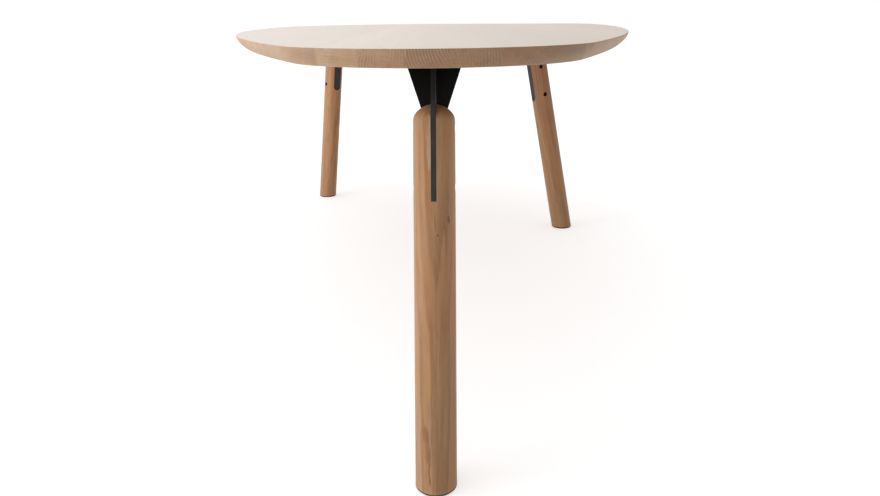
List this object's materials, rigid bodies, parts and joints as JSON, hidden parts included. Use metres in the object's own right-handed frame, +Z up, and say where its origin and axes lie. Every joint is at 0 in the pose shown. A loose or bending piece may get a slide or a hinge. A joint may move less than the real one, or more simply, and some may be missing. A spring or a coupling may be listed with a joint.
{
  "type": "dining table",
  "caption": "Dining table with a rounded, undercut top of solid oak staves on splayed round legs, each slotted over a black steel bracket.",
  "frame": {"origin": "on the floor, under the middle of the top's overall length and width", "axes": "+Z up, +Y along the length from the narrow end (the nose) to the far edge, +X to the right as seen from the nose"},
  "size_m": [1.2499, 2.4999, 0.74],
  "materials": {
    "top_wood": "pale oak, matt oiled",
    "leg_wood": "tan oak, matt oiled",
    "black_steel": "black powder coat",
    "zinc_steel": "zinc plated",
    "brass": "bare",
    "glide": "dark, matt"
  },
  "bodies": {
    "root": {"stave_01": "top_wood", "stave_02": "top_wood", "stave_03": "top_wood", "stave_04": "top_wood", "stave_05": "top_wood", "stave_06": "top_wood", "stave_07": "top_wood", "stave_08": "top_wood", "stave_09": "top_wood", "stave_10": "top_wood", "stave_11": "top_wood", "stave_12": "top_wood", "stave_13": "top_wood", "stave_14": "top_wood", "stave_15": "top_wood", "stave_16": "top_wood", "stave_17": "top_wood", "stave_18": "top_wood", "stave_19": "top_wood", "nose_leg": "leg_wood", "left_leg": "leg_wood", "right_leg": "leg_wood", "nose_glide": "glide", "left_glide": "glide", "right_glide": "glide", "nose_mounting_plate": "black_steel", "left_mounting_plate": "black_steel", "right_mounting_plate": "black_steel", "nose_tongue": "black_steel", "left_tongue": "black_steel", "right_tongue": "black_steel", "nose_cross_plate": "black_steel", "left_cross_plate": "black_steel", "right_cross_plate": "black_steel", "nose_bolts": "black_steel", "left_bolts": "black_steel", "right_bolts": "black_steel", "nose_sleeve_nuts": "black_steel", "left_sleeve_nuts": "black_steel", "right_sleeve_nuts": "black_steel", "nose_plate_screws": "black_steel", "left_plate_screws": "black_steel", "right_plate_screws": "black_steel", "nose_threaded_inserts": "brass", "left_threaded_inserts": "brass", "right_threaded_inserts": "brass", "front_batten": "black_steel", "middle_batten": "black_steel", "rear_batten": "black_steel", "front_batten_screws": "zinc_steel", "middle_batten_screws": "zinc_steel", "rear_batten_screws": "zinc_steel"}
  },
  "joints": []
}
